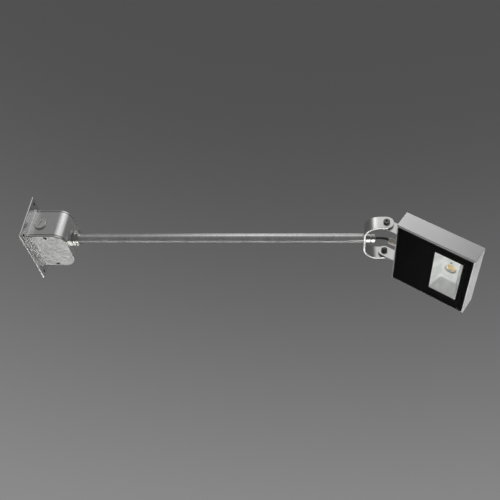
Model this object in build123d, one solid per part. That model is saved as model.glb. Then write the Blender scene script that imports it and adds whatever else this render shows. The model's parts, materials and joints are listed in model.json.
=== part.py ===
from build123d import *
import math
import os

# Picture light on a long arm. Millimetres. The origin is on the arm's axis in the wall plane:
# +X runs from the wall along the arm, +Z is up, and the picture hangs below the arm.

# ---------------------------------------------------------------- driving dimensions
# Wall plate: a shallow tray with turned-back lips
PLATE_WIDTH = 160.0
PLATE_HEIGHT = 110.0
PLATE_DEPTH = 5.0
PLATE_SHEET = 2.5
PLATE_CORNER = 3.0
LIP_NOTCH_HALF = 45.0
WALL_HOLE_Y = 67.0
WALL_HOLE_Z = 44.0
WALL_HOLE_RADIUS = 2.75
WALL_BOSS_RADIUS = 7.0

# Terminal box: an extruded shell with a cover above and below
BOX_WIDTH = 109.0
BOX_HEIGHT = 75.0
BOX_NOSE_X = 88.0
BOX_CORNER = 28.0
BOX_WALL = 3.0
FLANGE_THICK = 3.0
FLANGE_LIP = 1.2
COVER_THICK = 4.2
COVER_EDGE = 1.4
GASKET_THICK = 1.5
GASKET_INSET = 1.8
COVER_SCREW_X = 45.0
COVER_SCREW_Y = 47.0
COVER_SCREW_RADIUS = 2.0
COVER_SCREW_HEAD = 3.6
COVER_RECESS_RADIUS = 4.4
COVER_RECESS_DEPTH = 3.2
COVER_HEAD_SUNK = 1.5
COVER_SOCKET_DEPTH = 1.1
CHANNEL_RADIUS = 4.5
BOX_SCREW_Y = 40.0
BOX_SCREW_Z = 22.0
BOX_SCREW_RADIUS = 2.5
ENTRY_RADIUS = 12.0
ENTRY_BORE_RADIUS = 4.5
PLUG_X = 28.0
PLUG_Z = -4.0
PLUG_RADIUS = 13.5
PLUG_HEIGHT = 4.0
PLUG_THREAD = 10.0
PLUG_SLOT = (17.0, 5.0, 2.8)
PLUG_SLOT_TURN = 65.0
BLOCK_Y = 26.0
BLOCK_SIZE = (16.0, 16.0, 34.0)
POLE_PITCH = 11.0
POLE_ROW = 4.5
EARTH_Y = -24.0

# Compression fitting that holds the arm in the box's nose
FITTING_FLATS = 30.0
FITTING_SPIGOT = 13.5
FITTING_INNER_X = 79.0
FITTING_HEX = 6.2
FITTING_NUT = 6.0
FITTING_STUB = 13.0

# Arm tube and the yoke on its end
TUBE_RADIUS = 10.0
TUBE_WALL = 1.5
TUBE_START_X = 74.0
YOKE_BACK_X = 735.0
YOKE_WIDTH = 108.0
YOKE_STRAP = 4.0
YOKE_HEIGHT = 30.4
YOKE_CORNER = 33.0
PIVOT_X = 781.0
NIPPLE_RADIUS = 5.0
NIPPLE_BORE = 3.1
GLAND_FLATS = 15.0
LEAD_RADIUS = 2.75
ARM_GLAND_END_X = 760.5

# Lamp head, in its own frame: X from the pivot along the head, Z from the glass to the back
TILT = 32.4
HEAD_START = 34.3
HEAD_LENGTH = 169.2
HEAD_WIDTH = 183.0
HEAD_DEPTH = 41.3
GLASS_FACE = -23.9
HEAD_WALL = 6.0
HEAD_RIM = 3.0
HEAD_FRONT_EASE = 2.6
HEAD_EDGE = 0.8
PANE_SEAL = 0.9
GLASS_THICK = 4.0
GLASS_SUNK = 0.4
PRINT_THICK = 0.3
COVER_PLATE = 3.0
LUG_HALF = 13.0
LUG_THICK = 4.0
LUG_OUTER_Y = 48.5
BRACKET_SCREW_Y = 30.0
BRACKET_SCREW_Z = 7.0
BRACKET_CORNER = 5.0
HEAD_GLAND_START = 9.0
HEAD_GLAND_FLATS = 13.0
WINDOW_CENTRE = 150.8
WINDOW_LENGTH = 60.5
WINDOW_WIDTH = 124.0
WELL_LENGTH = 34.5
WELL_WIDTH = 78.8
WELL_FLOOR = 3.2
REFLECTOR_WALL = 0.6
LED_RADIUS = 9.0
LED_FACE = 8.6
LED_BASE = 8.0
LED_DOME = 3.0
HOLDER_RADIUS = 12.6
HOLDER_FACE = 5.2
REFLECTOR_HOLE = 13.0
REFLECTOR_SCREW = (WINDOW_CENTRE - 0.8, -19.5)
REFLECTOR_SCREW_RADIUS = 1.2
DRIVER_START = 46.0
DRIVER_END = 112.0
DRIVER_EAR = 4.0

# Screws
M3_RADIUS = 1.5
M4_RADIUS = 2.0
SCREW_RADIUS = 4.0
SCREW_HEAD_RADIUS = 7.0
SCREW_HEAD_HEIGHT = 4.6
SOCKET_FLATS = 5.0

# Clearances
RUN = 0.05      # running fit, on the radius
FACE = 0.1      # between flat faces of bodies that turn on each other
EASY = 0.4      # a hole that only has to clear

PLATE_FRONT = PLATE_DEPTH
FLANGE_FRONT = PLATE_FRONT + FLANGE_THICK
SHELL_HALF_Z = BOX_HEIGHT / 2 - COVER_THICK - GASKET_THICK
TUBE_BORE = TUBE_RADIUS - TUBE_WALL
HEAD_END = HEAD_START + HEAD_LENGTH
HEAD_BACK = GLASS_FACE + HEAD_DEPTH
PRINT_BACK = GLASS_FACE + GLASS_SUNK + GLASS_THICK + PRINT_THICK
COVER_INNER = HEAD_BACK - COVER_PLATE
HEAD_PLACE = Pos(PIVOT_X, 0, 0) * Rot(0, TILT, 0)


# ---------------------------------------------------------------- helpers
def span(x0, x1, y0, y1, z0, z1):
    """A block between two corners."""
    centre = Pos((x0 + x1) / 2, (y0 + y1) / 2, (z0 + z1) / 2)
    return centre * Box(abs(x1 - x0), abs(y1 - y0), abs(z1 - z0))


def x_rod(radius, x0, x1, y=0.0, z=0.0):
    """A cylinder along X."""
    return Pos((x0 + x1) / 2, y, z) * Rot(0, 90, 0) * Cylinder(radius, x1 - x0)


def y_rod(radius, y0, y1, x=0.0, z=0.0):
    """A cylinder along Y."""
    return Pos(x, (y0 + y1) / 2, z) * Rot(90, 0, 0) * Cylinder(radius, y1 - y0)


def z_rod(radius, z0, z1, x=0.0, y=0.0):
    """A cylinder along Z."""
    return Pos(x, y, (z0 + z1) / 2) * Cylinder(radius, z1 - z0)


def x_cone(radius0, radius1, x0, x1):
    """A cone along X on the arm's axis, from radius0 at x0 to radius1 at x1."""
    return Pos((x0 + x1) / 2, 0, 0) * Rot(0, 90, 0) * Cone(radius0, radius1, x1 - x0)


def x_hex(flats, x0, x1):
    """A hexagon bar along X on the arm's axis, with flats above and below and eased points."""
    face = Plane.YZ * RegularPolygon(flats / 2, 6, major_radius=False)
    bar = Pos(x0, 0, 0) * extrude(face, x1 - x0)
    ease = 0.12 * flats / 2
    cap = flats / math.sqrt(3) - ease
    turned = x_rod(cap + ease, x0 + ease, x1 - ease)
    turned += x_cone(cap, cap + ease, x0, x0 + ease)
    turned += x_cone(cap + ease, cap, x1 - ease, x1)
    return bar & turned


def y_hex(flats, y0, y1, x=0.0, z=0.0):
    """A hexagon bar along Y."""
    face = Plane.XZ * RegularPolygon(flats / 2, 6, major_radius=False)
    return Pos(x, y1, z) * extrude(face, y1 - y0)


def corners(y, z):
    """The four corners of a rectangle centred on the axis."""
    return [(sy * y, sz * z) for sy in (-1, 1) for sz in (-1, 1)]


def box_profile(back_x, grow, z0, z1):
    """The box's plan, a rectangle with two round corners at the nose, between two heights."""
    half = BOX_WIDTH / 2 + grow
    body = span(back_x, BOX_NOSE_X + grow, -half, half, z0, z1)
    nose = body.edges().filter_by(Axis.Z).group_by(Axis.X)[-1]
    return fillet(nose, BOX_CORNER + grow)


def lead_along(points, radii):
    """A round lead that follows straight runs joined by tangent arcs."""
    path = FilletPolyline(*points, radius=radii)
    start = Plane(origin=path @ 0, z_dir=path % 0)
    tube = sweep(start * Circle(LEAD_RADIUS), path=path)
    ratio = tube.volume / (math.pi * LEAD_RADIUS ** 2 * path.length)
    print(f"lead length {path.length:.1f}, radii {radii}, volume ratio {ratio:.4f}")
    return tube


# ---------------------------------------------------------------- wall box
def make_wall_plate():
    """A shallow tray, open to the wall, with a spacer boss at each fixing hole."""
    half_y, half_z = PLATE_WIDTH / 2, PLATE_HEIGHT / 2
    tray = span(0, PLATE_DEPTH, -half_y, half_y, -half_z, half_z)
    tray = fillet(tray.edges().group_by(Axis.X)[-1], PLATE_CORNER)
    inner_y, inner_z = half_y - PLATE_SHEET, half_z - PLATE_SHEET
    tray -= span(-1, PLATE_DEPTH - PLATE_SHEET, -inner_y, inner_y, -inner_z, inner_z)
    notch_top = PLATE_DEPTH - PLATE_SHEET
    for side in (-1, 1):
        tray -= span(-1, notch_top, -LIP_NOTCH_HALF, LIP_NOTCH_HALF,
                     side * (inner_z - 1), side * (half_z + 1))
    for y, z in corners(WALL_HOLE_Y, WALL_HOLE_Z):
        tray += x_rod(WALL_BOSS_RADIUS, 0, notch_top, y, z)
        tray -= x_rod(WALL_HOLE_RADIUS, -1, PLATE_DEPTH + 1, y, z)
    for y, z in corners(BOX_SCREW_Y, BOX_SCREW_Z):
        tray -= x_rod(BOX_SCREW_RADIUS + RUN, 0, PLATE_DEPTH + 1, y, z)
    return tray - x_rod(ENTRY_RADIUS, -1, PLATE_DEPTH + 1)


def make_base_flange():
    """The plate between the wall plate and the shell, a little larger than the shell."""
    half_y, half_z = BOX_WIDTH / 2 + FLANGE_LIP, BOX_HEIGHT / 2 + FLANGE_LIP
    flange = span(PLATE_FRONT, FLANGE_FRONT, -half_y, half_y, -half_z, half_z)
    flange = fillet(flange.edges().filter_by(Axis.X), 2.0)
    flange = chamfer(flange.edges().group_by(Axis.X)[-1], 0.6)
    for y, z in corners(BOX_SCREW_Y, BOX_SCREW_Z):
        flange -= x_rod(BOX_SCREW_RADIUS + RUN, 0, FLANGE_FRONT + 1, y, z)
    return flange - x_rod(ENTRY_RADIUS, 0, FLANGE_FRONT + 1)


def make_box_shell():
    """A closed extrusion, D-shaped in plan, with two screw channels on its inner sides."""
    top = SHELL_HALF_Z
    outer = box_profile(FLANGE_FRONT, 0, -top, top)
    inner_half = BOX_WIDTH / 2 - BOX_WALL
    inner = span(FLANGE_FRONT + BOX_WALL, BOX_NOSE_X - BOX_WALL, -inner_half, inner_half, -top - 1, top + 1)
    inner = fillet(inner.edges().filter_by(Axis.Z).group_by(Axis.X)[-1], BOX_CORNER - BOX_WALL)
    shell = outer - inner
    for side in (-1, 1):
        y = side * COVER_SCREW_Y
        shell += z_rod(CHANNEL_RADIUS, -top, top, COVER_SCREW_X, y)
        shell += span(COVER_SCREW_X - CHANNEL_RADIUS, COVER_SCREW_X + CHANNEL_RADIUS,
                      side * (COVER_SCREW_Y + 1), side * (inner_half + 1), -top, top)
        shell -= z_rod(COVER_SCREW_RADIUS + RUN, -top - 1, top + 1, COVER_SCREW_X, y)
    shell -= x_rod(FITTING_SPIGOT + RUN, BOX_NOSE_X - 2 * BOX_WALL, BOX_NOSE_X + 1)
    shell -= y_rod(PLUG_THREAD + RUN, -BOX_WIDTH / 2 - 1, -inner_half + 1, PLUG_X, PLUG_Z)
    back = FLANGE_FRONT + BOX_WALL + 1
    for y, z in corners(BOX_SCREW_Y, BOX_SCREW_Z):
        shell -= x_rod(BOX_SCREW_RADIUS + RUN, 0, back, y, z)
    for z in (-POLE_PITCH / 2, POLE_PITCH / 2):
        shell -= x_rod(M3_RADIUS + RUN, 0, back, BLOCK_Y, z)
    shell -= x_rod(M4_RADIUS + RUN, 0, back, EARTH_Y, 0)
    return shell - x_rod(ENTRY_RADIUS, 0, back)


def make_cover(side):
    """A flat lid with a rounded outer edge and two sunk screw seats, for side -1 or 1."""
    low = side * (SHELL_HALF_Z + GASKET_THICK)
    high = side * BOX_HEIGHT / 2
    cover = box_profile(FLANGE_FRONT, 0, min(low, high), max(low, high))
    outer_face = cover.faces().sort_by(Axis.Z)[-1 if side > 0 else 0]
    rounded = outer_face.edges().sort_by(Axis.X)[1:]
    cover = fillet(rounded, COVER_EDGE)
    seat = high - side * COVER_RECESS_DEPTH
    for y in (-COVER_SCREW_Y, COVER_SCREW_Y):
        cover -= z_rod(COVER_RECESS_RADIUS, min(seat, high + side), max(seat, high + side), COVER_SCREW_X, y)
        cover -= z_rod(COVER_SCREW_RADIUS + EASY / 2, min(low - side, high), max(low - side, high),
                       COVER_SCREW_X, y)
    return cover


def make_cover_gasket(side):
    """A thin seal between the shell and a cover, set in a little from both."""
    near, far = SHELL_HALF_Z, SHELL_HALF_Z + GASKET_THICK
    low, high = sorted((side * near, side * far))
    ring = box_profile(FLANGE_FRONT + GASKET_INSET, -GASKET_INSET, low, high)
    inner_half = BOX_WIDTH / 2 - BOX_WALL - CHANNEL_RADIUS * 2
    ring -= span(FLANGE_FRONT + BOX_WALL, BOX_NOSE_X - BOX_WALL - 8,
                 -inner_half, inner_half, low - 1, high + 1)
    for y in (-COVER_SCREW_Y, COVER_SCREW_Y):
        ring -= z_rod(COVER_SCREW_RADIUS + EASY / 2, low - 1, high + 1, COVER_SCREW_X, y)
    return ring


def make_cover_screws(side):
    """Two cap screws with a hexagon socket, sunk in a cover."""
    seat = BOX_HEIGHT / 2 - COVER_RECESS_DEPTH
    head_top = BOX_HEIGHT / 2 - COVER_HEAD_SUNK
    screw = z_rod(COVER_SCREW_RADIUS, seat - 16, seat) + z_rod(COVER_SCREW_HEAD, seat, head_top)
    screw = chamfer(screw.edges().group_by(Axis.Z)[-1], 0.4)
    socket = extrude(RegularPolygon(1.5, 6, major_radius=False), 3)
    screw -= Pos(0, 0, head_top - COVER_SOCKET_DEPTH) * socket
    if side < 0:
        screw = Rot(180, 0, 0) * screw
    return [Pos(COVER_SCREW_X, y, 0) * screw for y in (-COVER_SCREW_Y, COVER_SCREW_Y)]


def make_box_screws():
    """Four pan-head screws that hold the shell and the flange to the wall plate."""
    seat = FLANGE_FRONT + BOX_WALL
    screws = []
    for y, z in corners(BOX_SCREW_Y, BOX_SCREW_Z):
        screw = x_rod(BOX_SCREW_RADIUS, PLATE_DEPTH - PLATE_SHEET, seat, y, z)
        screw += x_rod(4.5, seat, seat + 3.2, y, z)
        screw -= span(seat + 1.6, seat + 4, y - 4, y + 4, z - 0.6, z + 0.6)
        screw -= span(seat + 1.6, seat + 4, y - 0.6, y + 0.6, z - 4, z + 4)
        screws.append(screw)
    return screws


def make_side_plug():
    """A blanking plug with a domed edge and a screwdriver slot, in the box's side."""
    face = -BOX_WIDTH / 2
    plug = y_rod(PLUG_RADIUS, face - PLUG_HEIGHT, face - 1.0)
    plug = fillet(plug.edges().group_by(Axis.Y)[0], 1.4)
    plug += y_rod(PLUG_THREAD, face - 1.0, face + 6)
    slot = Box(*PLUG_SLOT)
    plug -= Pos(0, face - PLUG_HEIGHT, 0) * Rot(0, -PLUG_SLOT_TURN, 0) * slot
    return Pos(PLUG_X, 0, PLUG_Z) * plug


def make_side_plug_seal():
    """The flat ring under the plug's head."""
    face = -BOX_WIDTH / 2
    ring = y_rod(PLUG_RADIUS - 0.8, face - 1.0, face) - y_rod(PLUG_THREAD + RUN, face - 2, face + 1)
    return Pos(PLUG_X, 0, PLUG_Z) * ring


def make_cable_grommet():
    """A rubber grommet through the plate, the flange and the shell, for the supply cable."""
    back, front = PLATE_DEPTH - PLATE_SHEET, FLANGE_FRONT + BOX_WALL
    grommet = x_rod(ENTRY_RADIUS - RUN, back, front)
    grommet += x_rod(ENTRY_RADIUS + 3, back - 2, back)
    grommet += x_rod(ENTRY_RADIUS + 2.5, front, front + 2.5)
    return grommet - x_rod(ENTRY_BORE_RADIUS, 0, front + 4)


def make_terminal_block():
    """A three-pole terminal strip on the shell's back wall."""
    deep, wide, tall = BLOCK_SIZE
    back = FLANGE_FRONT + BOX_WALL
    block = span(back, back + deep, BLOCK_Y - wide / 2, BLOCK_Y + wide / 2, -tall / 2, tall / 2)
    for gap_z in (-POLE_PITCH / 2, POLE_PITCH / 2):
        block -= span(back + deep - 4, back + deep + 1, BLOCK_Y - wide, BLOCK_Y + wide, gap_z - 1, gap_z + 1)
        block -= x_rod(M3_RADIUS + RUN, 0, back + deep + 1, BLOCK_Y, gap_z)
        block -= x_rod(2.7, back + deep - 4, back + deep + 1, BLOCK_Y, gap_z)
    for pole in (-1, 0, 1):
        for row in (-POLE_ROW, POLE_ROW):
            block -= x_rod(2.3, back + deep - 8, back + deep + 1, BLOCK_Y + row, pole * POLE_PITCH)
        block -= y_rod(1.7, BLOCK_Y - wide, BLOCK_Y + wide, back + 5, pole * POLE_PITCH)
    return block


def make_terminal_screws():
    """Six clamp screws in the strip, and the two that hold it."""
    top = FLANGE_FRONT + BOX_WALL + BLOCK_SIZE[0]
    screws = []
    for pole in (-1, 0, 1):
        for row in (-POLE_ROW, POLE_ROW):
            screw = x_rod(2.2, top - 7, top - 1, BLOCK_Y + row, pole * POLE_PITCH)
            z = pole * POLE_PITCH
            screw -= span(top - 2, top, BLOCK_Y + row - 3, BLOCK_Y + row + 3, z - 0.4, z + 0.4)
            screws.append(screw)
    for gap_z in (-POLE_PITCH / 2, POLE_PITCH / 2):
        screw = x_rod(M3_RADIUS, FLANGE_FRONT, top - 4, BLOCK_Y, gap_z)
        screws.append(screw + x_rod(2.6, top - 4, top - 2.2, BLOCK_Y, gap_z))
    return screws


def make_earth_screw():
    """The earth screw on the shell's back wall, with its square washer."""
    seat = FLANGE_FRONT + BOX_WALL
    screw = x_rod(M4_RADIUS, FLANGE_FRONT, seat, EARTH_Y, 0)
    screw += x_rod(3.8, seat + 1, seat + 3.6, EARTH_Y, 0)
    return screw + span(seat, seat + 1, EARTH_Y - 5, EARTH_Y + 5, -5, 5)


def make_box_lead():
    """The lead's inner end, from the tube's mouth to the terminal strip."""
    end_x = FLANGE_FRONT + BOX_WALL + BLOCK_SIZE[0]
    route = [(TUBE_START_X, 0, 0), (61.5, 0, 0), (46.5, BLOCK_Y, 0), (end_x, BLOCK_Y, 0)]
    return lead_along(route, [20.0, 20.0])


# ---------------------------------------------------------------- compression fitting
def make_fitting_body():
    """A hexagon body with a spigot through the box's nose and a stub for its nut."""
    shoulder = BOX_NOSE_X + 1
    stub = shoulder + FITTING_HEX
    body = x_rod(FITTING_SPIGOT, FITTING_INNER_X, shoulder)
    body += x_hex(FITTING_FLATS, shoulder, stub)
    body += x_rod(FITTING_STUB, stub, stub + 3.4)
    body -= x_rod(TUBE_RADIUS + RUN, FITTING_INNER_X - 1, stub + 4)
    return body - x_rod(TUBE_RADIUS + 2.4, stub + 1.2, stub + 4)


def make_fitting_ring():
    """The rubber ring that the nut presses on the tube."""
    start = BOX_NOSE_X + 1 + FITTING_HEX + 1.2
    return x_rod(TUBE_RADIUS + 2.3, start, start + 2.6) - x_rod(TUBE_RADIUS + RUN, start - 1, start + 4)


def make_fitting_nut():
    """The hexagon nut of the fitting."""
    start = BOX_NOSE_X + 1 + FITTING_HEX + 0.6
    nut = x_hex(FITTING_FLATS, start, start + FITTING_NUT)
    nut -= x_rod(FITTING_STUB + RUN, start - 1, start + 3.3)
    return nut - x_rod(TUBE_RADIUS + EASY, start, start + FITTING_NUT + 1)


def make_fitting_seal():
    """The flat ring between the fitting and the box's nose."""
    ring = x_rod(15.4, BOX_NOSE_X, BOX_NOSE_X + 1)
    return ring - x_rod(FITTING_SPIGOT + RUN, BOX_NOSE_X - 1, BOX_NOSE_X + 2)


def make_fitting_locknut():
    """The thin nut that holds the fitting from inside the box."""
    back = BOX_NOSE_X - BOX_WALL
    return x_hex(FITTING_FLATS + 2, back - 4, back) - x_rod(FITTING_SPIGOT + RUN, back - 5, back + 1)


# ---------------------------------------------------------------- arm
def make_arm_tube():
    """The long round tube."""
    tube = x_rod(TUBE_RADIUS, TUBE_START_X, YOKE_BACK_X)
    return tube - x_rod(TUBE_BORE, TUBE_START_X - 1, YOKE_BACK_X + 1)


def make_tube_stop_ring():
    """The ring behind the fitting that keeps the tube from pulling out."""
    ring = x_rod(TUBE_RADIUS + 2.6, TUBE_START_X + 2, FITTING_INNER_X - 0.5)
    return ring - x_rod(TUBE_RADIUS + 0.02, TUBE_START_X, FITTING_INNER_X)


def make_tube_end_plug():
    """The threaded plug in the tube's outer end."""
    plug = x_rod(TUBE_BORE - 0.02, YOKE_BACK_X - 18, YOKE_BACK_X)
    return plug - x_rod(NIPPLE_RADIUS + RUN, YOKE_BACK_X - 19, YOKE_BACK_X + 1)


def make_yoke_nipple():
    """The hollow threaded nipple that carries the yoke and the lead gland."""
    front = YOKE_BACK_X + YOKE_STRAP + 10
    nipple = x_rod(NIPPLE_RADIUS, YOKE_BACK_X - 18, front)
    return nipple - x_rod(NIPPLE_BORE, YOKE_BACK_X - 19, front + 1)


def make_yoke():
    """A flat strap bent to a U, with round tips and a pivot hole in each."""
    half_y, half_z, far = YOKE_WIDTH / 2, YOKE_HEIGHT / 2, PIVOT_X + YOKE_HEIGHT
    outer = span(YOKE_BACK_X, far, -half_y, half_y, -half_z, half_z)
    outer = fillet(outer.edges().filter_by(Axis.Z).group_by(Axis.X)[0], YOKE_CORNER)
    gap = half_y - YOKE_STRAP
    inner = span(YOKE_BACK_X + YOKE_STRAP, far + 1, -gap, gap, -half_z - 1, half_z + 1)
    inner = fillet(inner.edges().filter_by(Axis.Z).group_by(Axis.X)[0], YOKE_CORNER - YOKE_STRAP)
    side_view = span(YOKE_BACK_X - 1, PIVOT_X, -half_y - 1, half_y + 1, -half_z, half_z)
    side_view += y_rod(half_z, -half_y - 1, half_y + 1, PIVOT_X)
    yoke = (outer - inner) & side_view
    long_edges = [e for e in yoke.edges() if e.length > 20]
    yoke = fillet(long_edges, 0.5)
    yoke -= x_rod(NIPPLE_RADIUS + RUN, YOKE_BACK_X - 1, YOKE_BACK_X + YOKE_STRAP + 1)
    return yoke - y_rod(SCREW_RADIUS + RUN, -half_y - 1, half_y + 1, PIVOT_X)


def make_yoke_washer():
    """The toothed lock washer under the yoke's nut, as a plain ring."""
    face = YOKE_BACK_X + YOKE_STRAP
    return x_rod(8.0, face, face + 1.2) - x_rod(NIPPLE_RADIUS + RUN, face - 1, face + 2)


def make_yoke_nut():
    """The nut that clamps the yoke on the tube's end."""
    start = YOKE_BACK_X + YOKE_STRAP + 1.2
    return x_hex(GLAND_FLATS, start, start + 4.6) - x_rod(NIPPLE_RADIUS + RUN, start - 1, start + 6)


def make_arm_gland_body():
    """The lead gland's hexagon body on the nipple."""
    start = YOKE_BACK_X + YOKE_STRAP + 5.9
    body = x_hex(GLAND_FLATS, start, start + 4.6) + x_rod(6.0, start + 4.6, start + 12)
    body -= x_rod(NIPPLE_RADIUS + RUN, start - 1, YOKE_BACK_X + YOKE_STRAP + 10.1)
    return body - x_rod(NIPPLE_BORE, start, start + 13)


def domed_nut(flats, x0, x1, thread_radius, thread_depth):
    """A hexagon gland nut that narrows to a dome at x0, hollow for its stub from x1."""
    dome = 2.6
    nut = x_hex(flats, x0 + dome - 0.6, x1)
    nut += x_rod(flats / 2 - 0.4, x0 + dome / 2, x0 + dome)
    nut += x_cone(flats / 2 - 2.2, flats / 2 - 0.4, x0, x0 + dome / 2)
    nut -= x_rod(thread_radius + RUN, x1 - thread_depth, x1 + 1)
    return nut - x_rod(LEAD_RADIUS + EASY, x0 - 1, x1)


def make_arm_gland_nut():
    """The gland's domed nut, which faces the head."""
    length = 9.0
    nut = domed_nut(GLAND_FLATS, 0, length, 6.0, 6.2)
    return Pos(ARM_GLAND_END_X, 0, 0) * Rot(0, 0, 180) * nut


def make_arm_gland_seal():
    """The rubber ring that grips the lead in the gland."""
    start = YOKE_BACK_X + YOKE_STRAP + 18
    return x_rod(5.0, start, start + 0.6) - x_rod(LEAD_RADIUS + 0.02, start - 1, start + 2)


def make_arm_lead():
    """The lead's long stretch inside the tube, up to the gland's mouth."""
    return x_rod(LEAD_RADIUS, TUBE_START_X, ARM_GLAND_END_X)


def make_bridge_lead():
    """The lead's open stretch, from the arm's gland through the pivot's axis to the head's gland."""
    head_end = (HEAD_PLACE * Pos(HEAD_GLAND_START, 0, 0)).position
    radius = 0.96 * HEAD_GLAND_START / math.tan(math.radians(TILT) / 2)
    route = [(ARM_GLAND_END_X, 0, 0), (PIVOT_X, 0, 0), (head_end.X, head_end.Y, head_end.Z)]
    return lead_along(route, [radius])


# ---------------------------------------------------------------- lamp head, in its own frame
def make_head_bracket():
    """A flat strap bent to a U: its foot is on the head's end and its two lugs are inside the yoke."""
    foot = HEAD_START - LUG_THICK
    outer = span(-LUG_HALF, HEAD_START, -LUG_OUTER_Y, LUG_OUTER_Y, -LUG_HALF, LUG_HALF)
    outer = fillet(outer.edges().filter_by(Axis.Z).group_by(Axis.X)[-1], BRACKET_CORNER)
    gap = LUG_OUTER_Y - LUG_THICK
    inner = span(-LUG_HALF - 1, foot, -gap, gap, -LUG_HALF - 1, LUG_HALF + 1)
    inner = fillet(inner.edges().filter_by(Axis.Z).group_by(Axis.X)[-1], 1.0)
    side_view = span(0, HEAD_START, -60, 60, -LUG_HALF, LUG_HALF) + y_rod(LUG_HALF, -60, 60)
    bracket = (outer - inner) & side_view
    bracket = fillet([e for e in bracket.edges() if e.length > 20 and abs(e.center().Y) > 40], 0.5)
    bracket -= y_rod(SCREW_RADIUS + RUN, -60, 60)
    for y, z in corners(BRACKET_SCREW_Y, BRACKET_SCREW_Z):
        bracket -= x_rod(M4_RADIUS + RUN, foot - 1, HEAD_START + 1, y, z)
    return bracket - x_rod(6.0 + RUN, foot - 1, HEAD_START + 1)


def make_bracket_screws():
    """Four button-head screws that hold the bracket to the head."""
    foot = HEAD_START - LUG_THICK
    screws = []
    for y, z in corners(BRACKET_SCREW_Y, BRACKET_SCREW_Z):
        head = x_rod(3.8, foot - 2.4, foot, y, z)
        head = fillet(head.edges().group_by(Axis.X)[0], 1.4)
        screw = head + x_rod(M4_RADIUS, foot, HEAD_START + HEAD_WALL - 0.5, y, z)
        socket = Plane.YZ * RegularPolygon(1.25, 6, major_radius=False)
        screws.append(screw - Pos(foot - 3.4, y, z) * extrude(socket, 2.6))
    return screws


def make_pivot_screw():
    """A hexagon-socket screw through the yoke's near strap, with its head outside."""
    outside = -YOKE_WIDTH / 2 - FACE
    head_top = outside - SCREW_HEAD_HEIGHT
    screw = y_rod(SCREW_HEAD_RADIUS, head_top, outside)
    screw = fillet(screw.edges().group_by(Axis.Y)[0], 1.2)
    screw += y_rod(SCREW_RADIUS, outside, -LUG_OUTER_Y + LUG_THICK + 6)
    return screw - y_hex(SOCKET_FLATS, head_top - 1, head_top + 2.8)


def make_pivot_washer():
    """The friction washer between the yoke's near strap and its lug."""
    outer = -YOKE_WIDTH / 2 + YOKE_STRAP + FACE
    return y_rod(10.5, outer, -LUG_OUTER_Y) - y_rod(SCREW_RADIUS + RUN, outer - 1, -LUG_OUTER_Y + 1)


def make_pivot_nut():
    """A domed cap nut on the inside of the near lug."""
    start = -LUG_OUTER_Y + LUG_THICK
    nut = y_hex(13.0, start, start + 5.0)
    nut = nut & (y_rod(7.2, start - 1, start + 3.8) + Pos(0, start + 3.8 + 0.9, 0) * Rot(-90, 0, 0)
                 * Cone(7.2, 5.4, 1.8))
    nut += Pos(0, start + 4.2, 0) * Sphere(5.2) & y_rod(6.0, start, start + 9)
    return nut - y_rod(SCREW_RADIUS + RUN, start - 1, start + 6.2)


def both_sides(shape):
    """A piece of the near side and its mirror image on the far side."""
    return [shape, mirror(shape, about=Plane.XZ)]


def make_head_gland_body():
    """The head's lead gland: hexagon body, stub for the nut and thread into the housing."""
    foot = HEAD_START - LUG_THICK
    body = x_hex(HEAD_GLAND_FLATS, foot - 9.3, foot) + x_rod(5.0, foot - 16, foot - 9.3)
    body += x_rod(6.0, foot, HEAD_START + HEAD_WALL)
    return body - x_rod(NIPPLE_BORE, foot - 17, HEAD_START + HEAD_WALL + 1)


def make_head_gland_nut():
    """The head gland's domed nut, which faces the arm."""
    return domed_nut(HEAD_GLAND_FLATS, HEAD_GLAND_START, HEAD_GLAND_START + 11, 5.0, 6.8)


def make_head_gland_seal():
    """The rubber ring that grips the lead in the head's gland."""
    start = HEAD_START - LUG_THICK - 16.8
    return x_rod(4.4, start, start + 0.6) - x_rod(LEAD_RADIUS + 0.02, start - 1, start + 2)


def head_window(inset, n0, n1):
    """A block as large as the head's outline less an inset, between two depths."""
    half = HEAD_WIDTH / 2 - inset
    return span(HEAD_START + inset, HEAD_END - inset, -half, half, n0, n1)


def cover_screw_places():
    """The back cover's six screws: three along each long side."""
    inset = HEAD_WALL + 4.5
    half = HEAD_WIDTH / 2 - inset
    stations = (HEAD_START + inset, (HEAD_START + HEAD_END) / 2, HEAD_END - inset)
    return [(x, y) for x in stations for y in (-half, half)]


def make_head_housing():
    """A deep frame: ledges for the glass in front and for the cover behind."""
    frame = head_window(0, GLASS_FACE, HEAD_BACK)
    frame = chamfer(frame.edges().group_by(Axis.Z)[0], HEAD_FRONT_EASE)
    uprights = frame.edges().filter_by(Axis.Z)
    frame = fillet(uprights + frame.edges().group_by(Axis.Z)[-1], HEAD_EDGE)
    frame -= head_window(HEAD_RIM, GLASS_FACE - 1, PRINT_BACK + 0.5)
    frame -= head_window(HEAD_WALL, GLASS_FACE, HEAD_BACK + 1)
    frame -= head_window(HEAD_RIM, COVER_INNER - GASKET_THICK, HEAD_BACK + 1)
    for x, y in cover_screw_places():
        low, high = PRINT_BACK + 3, COVER_INNER - GASKET_THICK
        wall_y = math.copysign(HEAD_WIDTH / 2 - HEAD_WALL / 2, y)
        frame += z_rod(4.5, low, high, x, y) + span(x - 4.5, x + 4.5, y, wall_y, low, high)
        frame -= z_rod(M3_RADIUS + RUN, COVER_INNER - 14, HEAD_BACK, x, y)
    for y, z in corners(BRACKET_SCREW_Y, BRACKET_SCREW_Z):
        frame -= x_rod(M4_RADIUS + RUN, HEAD_START - 1, HEAD_START + HEAD_WALL + 0.2, y, z)
    return frame - x_rod(6.0 + RUN, HEAD_START - 1, HEAD_START + 12)


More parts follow.
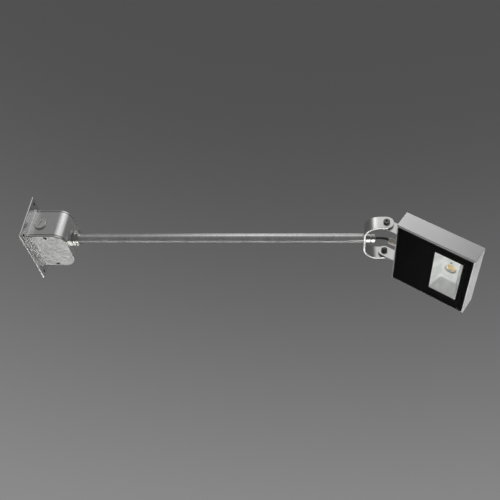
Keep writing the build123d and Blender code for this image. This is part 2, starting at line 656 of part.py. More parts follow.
def make_front_glass():
    """The clear pane, nearly flush with the rim and set in its seal."""
    front = GLASS_FACE + GLASS_SUNK
    pane = head_window(HEAD_RIM + PANE_SEAL, front, front + GLASS_THICK)
    return chamfer(pane.edges().group_by(Axis.Z)[0], 0.3)


def make_glass_print():
    """The black print on the back of the pane, with the clear window."""
    front = PRINT_BACK - PRINT_THICK
    half = WINDOW_WIDTH / 2
    sheet = head_window(HEAD_RIM + PANE_SEAL, front, PRINT_BACK)
    near, far = WINDOW_CENTRE - WINDOW_LENGTH / 2, WINDOW_CENTRE + WINDOW_LENGTH / 2
    return sheet - span(near, far, -half, half, front - 1, PRINT_BACK + 1)


def make_glass_gasket():
    """The black seal round the pane's edge and between the pane and the housing's front ledge."""
    front = GLASS_FACE + GLASS_SUNK
    edge = head_window(HEAD_RIM + RUN, front + GLASS_SUNK, PRINT_BACK + 0.5)
    edge -= head_window(HEAD_RIM + PANE_SEAL, front - 1, PRINT_BACK)
    return edge - head_window(HEAD_WALL, PRINT_BACK - 1, PRINT_BACK + 1)


def make_back_cover():
    """The flat plate behind, let into the housing, with six sunk screw holes."""
    plate = head_window(HEAD_RIM + 0.2, COVER_INNER, HEAD_BACK)
    plate = chamfer(plate.edges().group_by(Axis.Z)[-1], 0.5)
    for x, y in cover_screw_places():
        plate -= z_rod(M3_RADIUS + EASY / 2, COVER_INNER - 1, HEAD_BACK, x, y)
        plate -= Pos(x, y, HEAD_BACK - 0.9) * Cone(M3_RADIUS + EASY / 2, 3.4, 1.8)
    for x, y in driver_screw_places():
        plate -= z_rod(M3_RADIUS + RUN, COVER_INNER - 1, COVER_INNER + 2, x, y)
    return plate


def make_back_gasket():
    """The seal under the back cover."""
    ring = head_window(HEAD_RIM + 0.4, COVER_INNER - GASKET_THICK, COVER_INNER)
    ring -= head_window(HEAD_WALL, COVER_INNER - 3, COVER_INNER + 1)
    return ring


def make_back_screws():
    """Six countersunk screws with a hexagon socket."""
    screws = []
    for x, y in cover_screw_places():
        screw = z_rod(M3_RADIUS, COVER_INNER - 12, HEAD_BACK - 1.7)
        screw += Pos(0, 0, HEAD_BACK - 1.0) * Cone(M3_RADIUS, 3.2, 1.7)
        screw -= Pos(0, 0, HEAD_BACK - 1.3) * extrude(RegularPolygon(1.0, 6, major_radius=False), 3)
        screws.append(Pos(x, y, 0) * screw)
    return screws


def well(front_grow, back_grow, n0, n1):
    """The reflector's tapered well, grown sideways, between its front and its floor."""
    front = Rectangle(WINDOW_LENGTH + front_grow * 2, WINDOW_WIDTH + front_grow * 2)
    back = Rectangle(WELL_LENGTH + back_grow * 2, WELL_WIDTH + back_grow * 2)
    return loft([Pos(WINDOW_CENTRE, 0, n0) * front, Pos(WINDOW_CENTRE, 0, n1) * back])


def make_reflector():
    """A tapered well with a flange against the print and a round hole in its floor."""
    flange_half_x = WINDOW_LENGTH / 2 + 8
    flange_half_y = WINDOW_WIDTH / 2 + 8
    outer = well(REFLECTOR_WALL, REFLECTOR_WALL, PRINT_BACK, WELL_FLOOR + REFLECTOR_WALL)
    outer += span(WINDOW_CENTRE - flange_half_x, WINDOW_CENTRE + flange_half_x,
                  -flange_half_y, flange_half_y, PRINT_BACK, PRINT_BACK + REFLECTOR_WALL)
    reflector = outer - well(0, 0, PRINT_BACK, WELL_FLOOR)
    reflector -= z_rod(REFLECTOR_SCREW_RADIUS + RUN, 0, LED_FACE, *REFLECTOR_SCREW)
    return reflector - z_rod(REFLECTOR_HOLE, 0, WELL_FLOOR + 3, WINDOW_CENTRE)


def make_reflector_screw():
    """The small screw that holds the reflector's floor to the heat spreader."""
    screw = z_rod(REFLECTOR_SCREW_RADIUS, WELL_FLOOR, LED_FACE + 3)
    screw += z_rod(1.8, WELL_FLOOR - 0.7, WELL_FLOOR)
    return Pos(*REFLECTOR_SCREW, 0) * screw


def make_led_holder():
    """The white ring round the light source, coned inwards, behind the reflector's floor."""
    ring = z_rod(HOLDER_RADIUS, HOLDER_FACE, LED_FACE)
    middle = (HOLDER_FACE + LED_FACE) / 2
    ring -= Pos(0, 0, middle) * Cone(HOLDER_RADIUS - 1.0, LED_RADIUS + 0.3, LED_FACE - HOLDER_FACE)
    return Pos(WINDOW_CENTRE, 0, 0) * ring


def make_led_board():
    """The light source's square board."""
    return span(WINDOW_CENTRE - 14, WINDOW_CENTRE + 14, -14, 14, LED_FACE, LED_FACE + 1.5)


def make_led_emitter():
    """The light source's yellow dome on its round foot."""
    sphere_radius = (LED_RADIUS ** 2 + LED_DOME ** 2) / (2 * LED_DOME)
    top = LED_BASE - LED_DOME
    dome = Pos(0, 0, top + sphere_radius) * Sphere(sphere_radius) & z_rod(LED_RADIUS, top - 1, LED_BASE)
    return Pos(WINDOW_CENTRE, 0, 0) * (dome + z_rod(LED_RADIUS, LED_BASE, LED_FACE))


def make_heat_spreader():
    """The aluminium block that takes the light source's heat to the back cover."""
    block = span(WINDOW_CENTRE - 28, WINDOW_CENTRE + 28, -50, 50, LED_FACE + 1.5, COVER_INNER)
    return block - z_rod(REFLECTOR_SCREW_RADIUS + RUN, 0, LED_FACE + 3.1, *REFLECTOR_SCREW)


def driver_screw_places():
    """The driver's four screws."""
    return [(x, y) for x in (DRIVER_START + 6, DRIVER_END - 6) for y in (-52.0, 52.0)]


def make_driver():
    """The driver's potted case behind the black half of the glass, on the back cover."""
    case = span(DRIVER_START, DRIVER_END, -58, 58, -10, COVER_INNER)
    case = fillet(case.edges().group_by(Axis.Z)[0], 1.5)
    for x, y in driver_screw_places():
        case -= span(x - 6, x + 6, y - 6, y + 6, -11, COVER_INNER - DRIVER_EAR)
        case -= z_rod(M3_RADIUS + EASY / 2, 0, HEAD_BACK, x, y)
    return case


def make_driver_screws():
    """Four screws through the driver's ears into the back cover."""
    seat = COVER_INNER - DRIVER_EAR
    return [z_rod(M3_RADIUS, seat, COVER_INNER + 1.8, x, y) + z_rod(2.8, seat - 2, seat, x, y)
            for x, y in driver_screw_places()]


def make_head_lead():
    """The lead's stretch through the head's gland to the driver."""
    return x_rod(LEAD_RADIUS, HEAD_GLAND_START, DRIVER_START)


def make_led_wires():
    """Two thin wires from the driver to the light source's board."""
    return [x_rod(0.6, DRIVER_END, WINDOW_CENTRE - 14, y, LED_FACE + 0.75) for y in (-5, 5)]


# ---------------------------------------------------------------- assembly
BOX_PARTS = {
    "wall_plate": make_wall_plate(),
    "base_flange": make_base_flange(),
    "box_shell": make_box_shell(),
    "top_cover": make_cover(1),
    "bottom_cover": make_cover(-1),
    "top_gasket": make_cover_gasket(1),
    "bottom_gasket": make_cover_gasket(-1),
    "top_cover_screws": make_cover_screws(1),
    "bottom_cover_screws": make_cover_screws(-1),
    "box_screws": make_box_screws(),
    "side_plug": make_side_plug(),
    "side_plug_seal": make_side_plug_seal(),
    "cable_grommet": make_cable_grommet(),
    "terminal_block": make_terminal_block(),
    "terminal_screws": make_terminal_screws(),
    "earth_screw": make_earth_screw(),
    "box_lead": make_box_lead(),
    "fitting_body": make_fitting_body(),
    "fitting_ring": make_fitting_ring(),
    "fitting_nut": make_fitting_nut(),
    "fitting_seal": make_fitting_seal(),
    "fitting_locknut": make_fitting_locknut(),
}

ARM_PARTS = {
    "arm_tube": make_arm_tube(),
    "tube_stop_ring": make_tube_stop_ring(),
    "tube_end_plug": make_tube_end_plug(),
    "yoke_nipple": make_yoke_nipple(),
    "yoke": make_yoke(),
    "yoke_washer": make_yoke_washer(),
    "yoke_nut": make_yoke_nut(),
    "arm_gland_body": make_arm_gland_body(),
    "arm_gland_nut": make_arm_gland_nut(),
    "arm_gland_seal": make_arm_gland_seal(),
    "arm_lead": make_arm_lead(),
    "bridge_lead": make_bridge_lead(),
}

HEAD_PARTS = {
    "head_bracket": make_head_bracket(),
    "bracket_screws": make_bracket_screws(),
    "pivot_screws": both_sides(make_pivot_screw()),
    "pivot_washers": both_sides(make_pivot_washer()),
    "pivot_nuts": both_sides(make_pivot_nut()),
    "head_gland_body": make_head_gland_body(),
    "head_gland_nut": make_head_gland_nut(),
    "head_gland_seal": make_head_gland_seal(),
    "head_lead": make_head_lead(),
    "head_housing": make_head_housing(),
    "front_glass": make_front_glass(),
    "glass_print": make_glass_print(),
    "glass_gasket": make_glass_gasket(),
    "back_cover": make_back_cover(),
    "back_gasket": make_back_gasket(),
    "back_screws": make_back_screws(),
    "reflector": make_reflector(),
    "reflector_screw": make_reflector_screw(),
    "led_holder": make_led_holder(),
    "led_board": make_led_board(),
    "led_emitter": make_led_emitter(),
    "heat_spreader": make_heat_spreader(),
    "driver": make_driver(),
    "driver_screws": make_driver_screws(),
    "led_wires": make_led_wires(),
}


def write_part(name, shape, place):
    """Write one sub-part as a STEP file: a single solid, or a group of separate solids."""
    pieces = shape if isinstance(shape, list) else [shape]
    solids = [solid for piece in pieces for solid in (place * piece).solids()]
    export_step(solids[0] if len(solids) == 1 else Compound(solids), f"parts/{name}.step")


os.makedirs("parts", exist_ok=True)
for parts, place in ((BOX_PARTS, Pos(0, 0, 0)), (ARM_PARTS, Pos(0, 0, 0)), (HEAD_PARTS, HEAD_PLACE)):
    for name, shape in parts.items():
        write_part(name, shape, place)
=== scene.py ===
import json
import math

import bpy
from mathutils import Matrix, Vector


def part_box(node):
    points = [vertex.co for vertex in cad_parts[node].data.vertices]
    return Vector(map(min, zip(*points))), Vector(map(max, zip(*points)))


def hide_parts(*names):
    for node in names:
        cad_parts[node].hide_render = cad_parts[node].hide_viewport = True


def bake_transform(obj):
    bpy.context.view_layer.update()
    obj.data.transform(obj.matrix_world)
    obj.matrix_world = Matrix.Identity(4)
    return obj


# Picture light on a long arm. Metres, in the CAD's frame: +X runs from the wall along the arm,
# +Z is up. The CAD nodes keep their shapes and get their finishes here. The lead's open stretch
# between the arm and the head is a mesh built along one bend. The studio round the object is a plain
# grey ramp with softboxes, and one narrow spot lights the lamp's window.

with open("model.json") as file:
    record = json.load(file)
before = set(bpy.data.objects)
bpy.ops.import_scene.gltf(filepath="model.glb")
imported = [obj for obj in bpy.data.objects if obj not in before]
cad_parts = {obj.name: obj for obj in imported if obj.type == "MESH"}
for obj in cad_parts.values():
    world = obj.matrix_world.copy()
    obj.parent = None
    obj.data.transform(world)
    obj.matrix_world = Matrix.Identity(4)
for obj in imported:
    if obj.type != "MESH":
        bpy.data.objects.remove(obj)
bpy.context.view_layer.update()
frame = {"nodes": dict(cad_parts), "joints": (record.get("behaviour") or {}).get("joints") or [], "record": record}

MM = 0.001

# ---------------------------------------------------------------- driving values
CAMERA_PLACE = Vector((0.6833, -1.1969, -0.9197))
CAMERA_TARGET = Vector((0.4922, -0.0056, -0.0285))
CAMERA_ROLL = math.radians(5.55)
CAMERA_LENS = 50.0
CAMERA_SENSOR = 36.0
CAMERA_SHIFT_Y = -0.006

FLOOR_Z = -2.2
FLOOR_HALF = 30.0
FLOOR_ROUGHNESS = 0.85
AIR_AT_HORIZON = 0.31
AIR_OVERHEAD = 0.08
AIR_RAMP_TOP = 0.8

HEAD_TILT = math.radians(32.4)
LEAD_RADIUS = 2.75 * MM
LEAD_HEAD_REACH = 9.0 * MM
LEAD_SIDES = 40
LEAD_RING_STEP = 0.6 * MM
LEAD_TUCK = 1.2 * MM
LEAD_ARC_SHARE = 0.96

# The mask that finds sharp edges for their painted highlight, and the one that finds a plate's bores for their
# painted shade
EDGE_LOW = 0.04
EDGE_HIGH = 0.35
BORE_INNER = 1.02
BORE_OUTER = 1.12
# The colour painted into the bores as their shade
BORE_SHADE = (0.02, 0.02, 0.02)

# Both are lower than real glass and enamel, which keeps the black front black in soft light
PANE_IOR = 1.2
PRINT_SPECULAR = 0.0

# Sockets of the Mix node for colours
MIX_FIRST = 6
MIX_SECOND = 7
MIX_RESULT = 2


# ---------------------------------------------------------------- node graph helpers
def combine(tree, operation, first, second=None):
    """A math node on one or two values, each a number or a node's output."""
    node = tree.nodes.new("ShaderNodeMath")
    node.operation = operation
    for socket, value in zip(node.inputs, (first, second)):
        if isinstance(value, (int, float)):
            socket.default_value = value
        elif value is not None:
            tree.links.new(value, socket)
    return node.outputs[0]


class Look:
    """A material under construction: one Principled shader and the nodes that feed it."""

    def __init__(self, name, **constants):
        self.material = bpy.data.materials.new(name)
        self.material.use_nodes = True
        self.tree = self.material.node_tree
        self.tree.nodes.clear()
        self.output = self.add("ShaderNodeOutputMaterial")
        self.shader = self.add("ShaderNodeBsdfPrincipled")
        self.link(self.shader.outputs[0], self.output.inputs["Surface"])
        for socket, value in constants.items():
            self.shader.inputs[socket.replace("_", " ")].default_value = value
        self.place = self.add("ShaderNodeTexCoord").outputs["Object"]

    def add(self, kind, **settings):
        node = self.tree.nodes.new(kind)
        for key, value in settings.items():
            setattr(node, key, value)
        return node

    def link(self, source, target):
        self.tree.links.new(source, target)

    def set(self, socket, source):
        """Feeds one of the shader's sockets from a node."""
        self.link(source, self.shader.inputs[socket])

    def stretched(self, scale):
        """The object's coordinates, scaled apart along X, Y and Z."""
        node = self.add("ShaderNodeMapping")
        node.inputs["Scale"].default_value = scale
        self.link(self.place, node.inputs["Vector"])
        return node.outputs[0]

    def noise(self, scale, detail=2.0, rough=0.5, where=None):
        """Fractal noise from 0 to 1. scale is in features per metre."""
        node = self.add("ShaderNodeTexNoise")
        node.inputs["Scale"].default_value = scale
        node.inputs["Detail"].default_value = detail
        node.inputs["Roughness"].default_value = rough
        self.link(where or self.place, node.inputs["Vector"])
        return node.outputs["Fac"]

    def ramp(self, value, low, high, to_low=0.0, to_high=1.0):
        """value mapped smoothly from low..high to to_low..to_high."""
        node = self.add("ShaderNodeMapRange", interpolation_type="SMOOTHSTEP")
        node.inputs["From Min"].default_value = low
        node.inputs["From Max"].default_value = high
        node.inputs["To Min"].default_value = to_low
        node.inputs["To Max"].default_value = to_high
        self.link(value, node.inputs["Value"])
        return node.outputs["Result"]

    def math(self, kind, first, second=None):
        return combine(self.tree, kind, first, second)

    def mix(self, factor, first, second):
        """A colour between two, each a tuple or a node's output."""
        node = self.add("ShaderNodeMix", data_type="RGBA")
        self.link(factor, node.inputs["Factor"])
        for socket, value in ((node.inputs[MIX_FIRST], first), (node.inputs[MIX_SECOND], second)):
            if isinstance(value, tuple):
                socket.default_value = (*value, 1.0)
            else:
                self.link(value, socket)
        return node.outputs[MIX_RESULT]

    def bump(self, height, depth, normal=None):
        """A normal raised by height times depth metres, over normal."""
        node = self.add("ShaderNodeBump")
        node.inputs["Distance"].default_value = depth
        self.link(height, node.inputs["Height"])
        if normal is not None:
            self.link(normal, node.inputs["Normal"])
        return node.outputs[0]

    def round_normal(self, radius):
        """The surface normal with sharp edges rounded off to radius."""
        node = self.add("ShaderNodeBevel", samples=4)
        node.inputs["Radius"].default_value = radius
        return node.outputs[0]

    def edge_mask(self, rounded):
        """1 along sharp edges and 0 on flat faces, from how far rounded leaves the true normal."""
        true_normal = self.add("ShaderNodeNewGeometry").outputs["Normal"]
        node = self.add("ShaderNodeVectorMath", operation="DOT_PRODUCT")
        self.link(rounded, node.inputs[0])
        self.link(true_normal, node.inputs[1])
        turned = self.math("SUBTRACT", 1.0, node.outputs["Value"])
        return self.ramp(turned, EDGE_LOW, EDGE_HIGH)

    def bore_shade_mask(self, spacing_y, spacing_z, radius):
        """1 inside four bores along X, at the corners of a rectangle centred on the origin."""
        parts = self.add("ShaderNodeSeparateXYZ")
        self.link(self.place, parts.inputs[0])
        away_y = self.math("SUBTRACT", self.math("ABSOLUTE", parts.outputs["Y"]), spacing_y / 2)
        away_z = self.math("SUBTRACT", self.math("ABSOLUTE", parts.outputs["Z"]), spacing_z / 2)
        squared = self.math("ADD", self.math("POWER", away_y, 2.0), self.math("POWER", away_z, 2.0))
        distance = self.math("SQRT", squared)
        return self.ramp(distance, radius * BORE_INNER, radius * BORE_OUTER, 1.0, 0.0)


def shade(colour, factor):
    """colour made lighter or darker by factor."""
    return tuple(min(1.0, c * factor) for c in colour)


# ---------------------------------------------------------------- finishes
def powder_coat(name, colour, metallic=0.65, rough=0.34, peel=0.012 * MM, edge_highlight_lift=1.25, bores=None):
    """Satin silver powder coat: fine flake, a soft orange peel, handling marks, and sharp edges painted lighter in
    worn patches, partly wear and partly a painted highlight.

    bores is the spacing along Y and Z and the radius of four fixing holes, which are painted dark as their shade.
    """
    look = Look(name, Metallic=metallic)
    flake = look.noise(2600.0, 2.0, 0.6)
    cloud = look.noise(14.0, 3.0)
    worn = look.noise(420.0, 3.0)
    rounded = look.round_normal(0.35 * MM)
    # Painted highlight: sharp edges are coloured lighter where the wear noise is high, partly wear and partly a
    # painted highlight
    worn_edge_highlight = look.math("MULTIPLY", look.edge_mask(rounded), look.ramp(worn, 0.3, 0.62))
    speckled = look.mix(look.ramp(flake, 0.28, 0.72), shade(colour, 0.84), shade(colour, 1.12))
    clouded = look.mix(look.ramp(cloud, 0.3, 0.7, 0.0, 0.05), speckled, shade(colour, 0.86))
    coat = look.mix(worn_edge_highlight, clouded, shade(colour, edge_highlight_lift))
    # Painted shade: the four bores are coloured dark where shade falls in them
    if bores is not None:
        coat = look.mix(look.bore_shade_mask(*bores), coat, BORE_SHADE)
    look.set("Base Color", coat)
    smudge = look.ramp(look.noise(22.0, 3.0, 0.55), 0.35, 0.75, rough - 0.015, rough + 0.02)
    grain = look.ramp(flake, 0.2, 0.8, -0.03, 0.03)
    look.set("Roughness", look.math("ADD", smudge, grain))
    peeled = look.bump(look.noise(520.0, 1.0), peel, rounded)
    look.set("Normal", look.bump(flake, 0.0035 * MM, peeled))
    return look.material


def brushed_metal(name, colour, rough, scale):
    """Brushed metal with sharp edges painted lighter as a highlight. The brush lines run where scale is small."""
    look = Look(name, Metallic=1.0)
    lines = look.noise(1.0, 3.0, 0.65, look.stretched(scale))
    cloud = look.noise(30.0, 3.0)
    rounded = look.round_normal(0.3 * MM)
    toned = look.mix(look.ramp(lines, 0.25, 0.75), shade(colour, 0.9), shade(colour, 1.06))
    clouded = look.mix(look.ramp(cloud, 0.3, 0.7, 0.0, 0.12), toned, shade(colour, 0.82))
    # Painted highlight: sharp edges are coloured lighter
    look.set("Base Color", look.mix(look.edge_mask(rounded), clouded, shade(colour, 1.15)))
    streak = look.ramp(lines, 0.2, 0.8, rough - 0.05, rough + 0.06)
    look.set("Roughness", look.math("ADD", streak, look.ramp(cloud, 0.35, 0.7, -0.02, 0.04)))
    look.set("Normal", look.bump(lines, 0.004 * MM, rounded))
    return look.material


def machined_metal(name, colour, rough, grime=0.35):
    """Turned or plated metal on small fittings: faint tool marks, dulled patches and sharp edges painted bright as
    a highlight.
    """
    look = Look(name, Metallic=1.0)
    tool = look.noise(900.0, 3.0, 0.6)
    spots = look.noise(160.0, 3.0)
    rounded = look.round_normal(0.22 * MM)
    dulled = look.mix(look.ramp(spots, 0.42, 0.72, 0.0, grime), colour, shade(colour, 0.55))
    # Painted highlight: sharp edges are coloured brighter
    look.set("Base Color", look.mix(look.edge_mask(rounded), dulled, shade(colour, 1.2)))
    look.set("Roughness", look.ramp(tool, 0.25, 0.75, rough * 0.75, rough * 1.35))
    look.set("Normal", look.bump(tool, 0.003 * MM, rounded))
    return look.material


def moulded(name, colour, rough, depth=0.01 * MM, grain=700.0, edge_highlight_lift=1.25):
    """Moulded rubber or plastic with a fine grain, uneven gloss and sharp edges painted paler as a highlight."""
    look = Look(name)
    texture = look.noise(grain, 3.0, 0.6)
    cloud = look.noise(45.0, 3.0)
    rounded = look.round_normal(0.2 * MM)
    toned = look.mix(look.ramp(cloud, 0.3, 0.7), shade(colour, 0.86), shade(colour, 1.1))
    # Painted highlight: sharp edges are coloured paler
    look.set("Base Color", look.mix(look.edge_mask(rounded), toned, shade(colour, edge_highlight_lift)))
    look.set("Roughness", look.ramp(texture, 0.25, 0.75, rough - 0.06, rough + 0.08))
    look.set("Normal", look.bump(texture, depth, rounded))
    return look.material


def clear_glass():
    """Clear pane with a faint haze of dust and a low IOR. Shadow and diffuse rays pass straight through."""
    look = Look("clear_glass_pane", Transmission_Weight=1.0, IOR=PANE_IOR)
    look.shader.inputs["Base Color"].default_value = (0.97, 0.985, 0.98, 1.0)
    dust = look.noise(60.0, 4.0, 0.7)
    look.set("Roughness", look.ramp(dust, 0.45, 0.8, 0.0, 0.03))
    look.set("Normal", look.bump(look.noise(25.0, 1.0), 0.003 * MM))
    rays = look.add("ShaderNodeLightPath")
    passed = look.math("MAXIMUM", rays.outputs["Is Shadow Ray"], rays.outputs["Is Diffuse Ray"])
    see_through = look.add("ShaderNodeBsdfTransparent")
    blend = look.add("ShaderNodeMixShader")
    look.link(passed, blend.inputs[0])
    look.link(look.shader.outputs[0], blend.inputs[1])
    look.link(see_through.outputs[0], blend.inputs[2])
    look.link(blend.outputs[0], look.output.inputs["Surface"])
    return look.material


def black_enamel():
    """The black print on the back of the glass, with no mirror reflection of its own."""
    look = Look("black_enamel_print", Specular_IOR_Level=PRINT_SPECULAR)
    specks = look.noise(900.0, 2.0)
    look.set("Base Color", look.mix(specks, (0.0008, 0.0008, 0.0009), (0.0022, 0.0022, 0.0024)))
    look.set("Roughness", look.ramp(specks, 0.2, 0.8, 0.45, 0.6))
    return look.material


def phosphor():
    """The light source's phosphor gel, unlit: mottled yellow under a thin clear coat."""
    look = Look("phosphor_gel", Coat_Weight=0.35, Coat_Roughness=0.12)
    grain = look.noise(2400.0, 3.0, 0.7)
    yellow = look.mix(look.ramp(grain, 0.3, 0.7), (0.80, 0.56, 0.23), (0.92, 0.70, 0.34))
    look.set("Base Color", yellow)
    look.set("Roughness", look.ramp(grain, 0.3, 0.7, 0.34, 0.5))
    look.set("Normal", look.bump(grain, 0.01 * MM))
    return look.material


def reflector_paint():
    """Satin off-white paint inside the reflector well."""
    return moulded("reflector_satin_white", (0.86, 0.865, 0.85), 0.34, 0.008 * MM, 900.0, 1.04)


# ---------------------------------------------------------------- finishes for every CAD node
SLOT_LOOKS = {
    "grey_paint": powder_coat("silver_grey_coat", (0.72, 0.725, 0.72), rough=0.25),
    "cover_paint": powder_coat("cover_grey_coat", (0.66, 0.665, 0.66), rough=0.27),
    "tube_paint": powder_coat("tube_grey_coat", (0.84, 0.845, 0.84), 0.5, 0.28, peel=0.006 * MM),
    "head_paint": powder_coat("head_grey_coat", (0.92, 0.92, 0.915), 0.6, 0.38),
    "yoke_metal": brushed_metal("brushed_stainless", (0.64, 0.64, 0.635), 0.30, (12, 12, 4200)),
    "stainless": machined_metal("turned_stainless", (0.62, 0.62, 0.61), 0.26),
    "dark_steel": machined_metal("dark_oiled_steel", (0.16, 0.16, 0.15), 0.28, grime=0.5),
    "nickel": machined_metal("bright_nickel", (0.74, 0.735, 0.70), 0.13, grime=0.45),
    "brass": machined_metal("plain_brass", (0.72, 0.54, 0.26), 0.24),
    "seal_rubber": moulded("black_seal_rubber", (0.025, 0.025, 0.026), 0.62, 0.02 * MM),
    "lead_jacket": moulded("black_lead_jacket", (0.010, 0.010, 0.011), 0.33, 0.006 * MM),
    "white_plastic": moulded("white_holder_plastic", (0.84, 0.84, 0.82), 0.38, edge_highlight_lift=1.05),
    "reflector_white": reflector_paint(),
    "clear_glass": clear_glass(),
    "black_print": black_enamel(),
    "led_phosphor": phosphor(),
    "spreader_metal": brushed_metal("milled_aluminium", (0.70, 0.71, 0.72), 0.34, (2600, 40, 40)),
    "driver_case": moulded("grey_driver_case", (0.09, 0.09, 0.10), 0.5, 0.02 * MM, 400.0),
}

wall_bolts = next(m["dims"] for m in frame["record"]["mounts"] if m["name"] == "wall_bolts")
PLATE_BORES = tuple(wall_bolts[key] * MM for key in ("spacing_x_mm", "spacing_y_mm", "hole_r_mm"))
NODE_LOOKS = {
    "side_plug": powder_coat("matt_zinc_plate", (0.90, 0.90, 0.89), 0.40, 0.40),
    # Darker coat on the plate, with a strong painted highlight along its edges and painted shade in its bores
    "wall_plate": powder_coat("plate_grey_coat", (0.52, 0.525, 0.52), 0.8, 0.30, edge_highlight_lift=1.75,
                              bores=PLATE_BORES),
    "head_gland_body": machined_metal("satin_nickel", (0.90, 0.87, 0.80), 0.42, grime=0.1),
    "head_gland_nut": machined_metal("satin_nickel_nut", (0.90, 0.87, 0.80), 0.42, grime=0.1),
}

for node_name, node in frame["nodes"].items():
    for material_slot in node.material_slots:
        slot_look = SLOT_LOOKS[material_slot.material.name.split(".")[0]]
        material_slot.material = NODE_LOOKS.get(node_name, slot_look)


# ---------------------------------------------------------------- the lead's open stretch
def lead_route():
    """Centre points from the arm's gland to the head's gland: a straight, one arc and a straight."""
    joint = next(j for j in frame["joints"] if j["name"] == "head_tilt")
    pivot = Vector(joint["pos_m"])
    start = Vector((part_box("bridge_lead")[0].x - LEAD_TUCK, 0.0, 0.0))
    away = Vector((math.cos(HEAD_TILT), 0.0, -math.sin(HEAD_TILT)))
    end = pivot + away * (LEAD_HEAD_REACH + LEAD_TUCK)
    tangent = LEAD_ARC_SHARE * LEAD_HEAD_REACH
    radius = tangent / math.tan(HEAD_TILT / 2)
    arc_start = pivot - Vector((tangent, 0.0, 0.0))
    centre = arc_start - Vector((0.0, 0.0, radius))
    points = []
    straight_steps = max(2, round((arc_start - start).length / LEAD_RING_STEP))
    for step in range(straight_steps):
        points.append(start.lerp(arc_start, step / straight_steps))
    arc_steps = round(radius * HEAD_TILT / LEAD_RING_STEP)
    for step in range(arc_steps + 1):
        turn = HEAD_TILT * step / arc_steps
        points.append(centre + radius * Vector((math.sin(turn), 0.0, math.cos(turn))))
    points.append(end)
    return points


def make_lead():
    """A round black lead with closed ends along lead_route, which all lies in the XZ plane."""
    points = lead_route()
    vertices = []
    for index, point in enumerate(points):
        ahead = points[min(index + 1, len(points) - 1)]
        behind = points[max(index - 1, 0)]
        along = (ahead - behind).normalized()
        side = Vector((0.0, 1.0, 0.0))
        up = along.cross(side)
        for step in range(LEAD_SIDES):
            turn = 2 * math.pi * step / LEAD_SIDES
            vertices.append(point + LEAD_RADIUS * (math.cos(turn) * side + math.sin(turn) * up))
    faces = []
    for ring in range(len(points) - 1):
        for step in range(LEAD_SIDES):
            a = ring * LEAD_SIDES + step
            b = ring * LEAD_SIDES + (step + 1) % LEAD_SIDES
            faces.append((a, b, b + LEAD_SIDES, a + LEAD_SIDES))
    last = (len(points) - 1) * LEAD_SIDES
    faces.append(tuple(reversed(range(LEAD_SIDES))))
    faces.append(tuple(range(last, last + LEAD_SIDES)))
    mesh = bpy.data.meshes.new("bridge_lead_jacket")
    mesh.from_pydata(vertices, [], faces)
    mesh.shade_smooth()
    mesh.update()
    lead = bpy.data.objects.new("bridge_lead_jacket", mesh)
    bpy.context.scene.collection.objects.link(lead)
    mesh.materials.append(SLOT_LOOKS["lead_jacket"])
    return lead, points


lead, lead_points = make_lead()
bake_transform(lead)
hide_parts("bridge_lead")


# ---------------------------------------------------------------- studio
def aim(thing, place, target, roll=0.0):
    """Stands thing at place with its -Z axis at target, turned by roll about that axis."""
    turn = (target - place).to_track_quat("-Z", "Y").to_matrix().to_4x4()
    thing.matrix_world = Matrix.Translation(place) @ turn @ Matrix.Rotation(roll, 4, "Z")


def make_camera():
    """The camera, below and in front of the lamp."""
    data = bpy.data.cameras.new("camera")
    data.lens = CAMERA_LENS
    data.sensor_width = CAMERA_SENSOR
    data.shift_y = CAMERA_SHIFT_Y
    camera = bpy.data.objects.new("camera", data)
    bpy.context.scene.collection.objects.link(camera)
    aim(camera, CAMERA_PLACE, CAMERA_TARGET, CAMERA_ROLL)
    bpy.context.scene.camera = camera


def map_value(tree, source, low, high, to_low, to_high):
    """A smooth map from low..high to to_low..to_high."""
    node = tree.nodes.new("ShaderNodeMapRange")
    node.interpolation_type = "SMOOTHSTEP"
    for socket, value in zip(("From Min", "From Max", "To Min", "To Max"), (low, high, to_low, to_high)):
        node.inputs[socket].default_value = value
    tree.links.new(source, node.inputs["Value"])
    return node.outputs["Result"]


def soft_edges(data, fade):
    """Fades an area light out towards its edges. fade is the share of each half side that fades."""
    data.use_nodes = True
    tree = data.node_tree
    glow = next(node for node in tree.nodes if node.type == "EMISSION")
    across = tree.nodes.new("ShaderNodeNewGeometry")
    parts = tree.nodes.new("ShaderNodeSeparateXYZ")
    tree.links.new(across.outputs["Parametric"], parts.inputs[0])
    sides = []
    for axis in (0, 1):
        distance = combine(tree, "ABSOLUTE", combine(tree, "SUBTRACT", parts.outputs[axis], 0.5))
        sides.append(map_value(tree, distance, 0.5 - 0.5 * fade, 0.5, 1.0, 0.0))
    tree.links.new(combine(tree, "MULTIPLY", *sides), glow.inputs["Strength"])


def make_softbox(name, place, target, width, height, watts, spread=math.pi, fade=0.6):
    """A rectangular soft light that the camera doesn't see."""
    data = bpy.data.lights.new(name, "AREA")
    soft_edges(data, fade)
    data.shape = "RECTANGLE"
    data.size = width
    data.size_y = height
    data.energy = watts
    data.spread = spread
    light = bpy.data.objects.new(name, data)
    bpy.context.scene.collection.objects.link(light)
    aim(light, Vector(place), Vector(target))
    light.visible_camera = False


def make_floor():
    """A plain pale floor below the object, which hangs high on its wall."""
    mesh = bpy.data.meshes.new("floor")
    corners = [(-1, -1), (1, -1), (1, 1), (-1, 1)]
    mesh.from_pydata([(FLOOR_HALF * x, FLOOR_HALF * y, FLOOR_Z) for x, y in corners], [], [(0, 1, 2, 3)])
    floor = bpy.data.objects.new("floor", mesh)
    bpy.context.scene.collection.objects.link(floor)
    look = Look("pale_floor")
    look.set("Base Color", look.mix(look.noise(0.8, 3.0), (0.74, 0.74, 0.73), (0.80, 0.80, 0.79)))
    look.shader.inputs["Roughness"].default_value = FLOOR_ROUGHNESS
    mesh.materials.append(look.material)


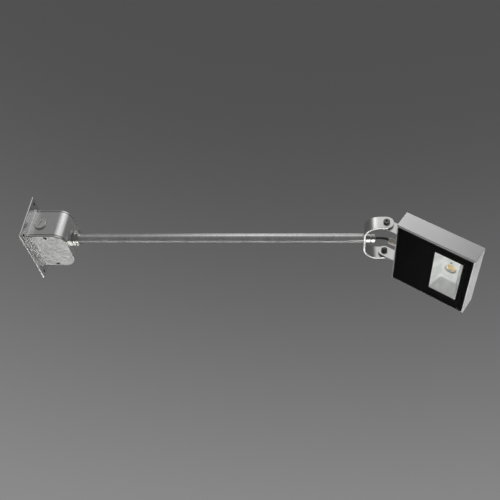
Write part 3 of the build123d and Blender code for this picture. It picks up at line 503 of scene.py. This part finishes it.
def make_world():
    """Plain grey studio air, paler near the horizon than overhead."""
    world = bpy.data.worlds.new("studio")
    world.use_nodes = True
    tree = world.node_tree
    tree.nodes.clear()
    direction = tree.nodes.new("ShaderNodeTexCoord")
    parts = tree.nodes.new("ShaderNodeSeparateXYZ")
    tree.links.new(direction.outputs["Generated"], parts.inputs[0])
    grey = map_value(tree, parts.outputs["Z"], 0.0, AIR_RAMP_TOP, AIR_AT_HORIZON, AIR_OVERHEAD)
    background = tree.nodes.new("ShaderNodeBackground")
    tree.links.new(grey, background.inputs["Color"])
    output = tree.nodes.new("ShaderNodeOutputWorld")
    tree.links.new(background.outputs[0], output.inputs["Surface"])
    bpy.context.scene.world = world


def make_spot(name, place, target, watts, cone, radius):
    """A round spot with a fully soft edge. cone is its whole angle in degrees."""
    data = bpy.data.lights.new(name, "SPOT")
    data.energy = watts
    data.spot_size = math.radians(cone)
    data.spot_blend = 1.0
    data.shadow_soft_size = radius
    light = bpy.data.objects.new(name, data)
    bpy.context.scene.collection.objects.link(light)
    aim(light, Vector(place), Vector(target))
    light.visible_camera = False


make_camera()
make_world()
make_floor()
make_softbox("key_softbox", (0.60, -0.64, 0.60), (0.50, 0.0, 0.0), 1.45, 0.95, 3.9)
make_softbox("key_core", (0.40, -0.54, 0.58), (0.30, 0.0, 0.0), 0.50, 0.42, 0.85, fade=0.9)
make_softbox("back_softbox", (1.75, 1.8, 0.75), (0.9, 0.0, -0.1), 1.6, 1.2, 3.6)
make_softbox("top_softbox", (0.4, 0.5, 1.9), (0.45, 0.0, 0.0), 1.2, 0.9, 6.0)
make_softbox("floor_light", (0.3, 2.7, -0.9), (0.3, 2.7, FLOOR_Z), 5.6, 0.6, 80.0, math.radians(90))
make_softbox("right_floor_light", (1.5, 2.8, -0.9), (1.5, 2.8, FLOOR_Z), 2.0, 0.8, 26.0, math.radians(90))
make_softbox("fill_softbox", (-0.72, -1.25, 0.95), (0.05, -0.05, 0.0), 1.7, 1.3, 1.0)
make_spot("window_spot", (0.74, 0.36, -1.63), (0.908, 0.0, -0.081), 95.0, 9.6, 0.12)
bpy.context.scene.view_settings.view_transform = "Standard"
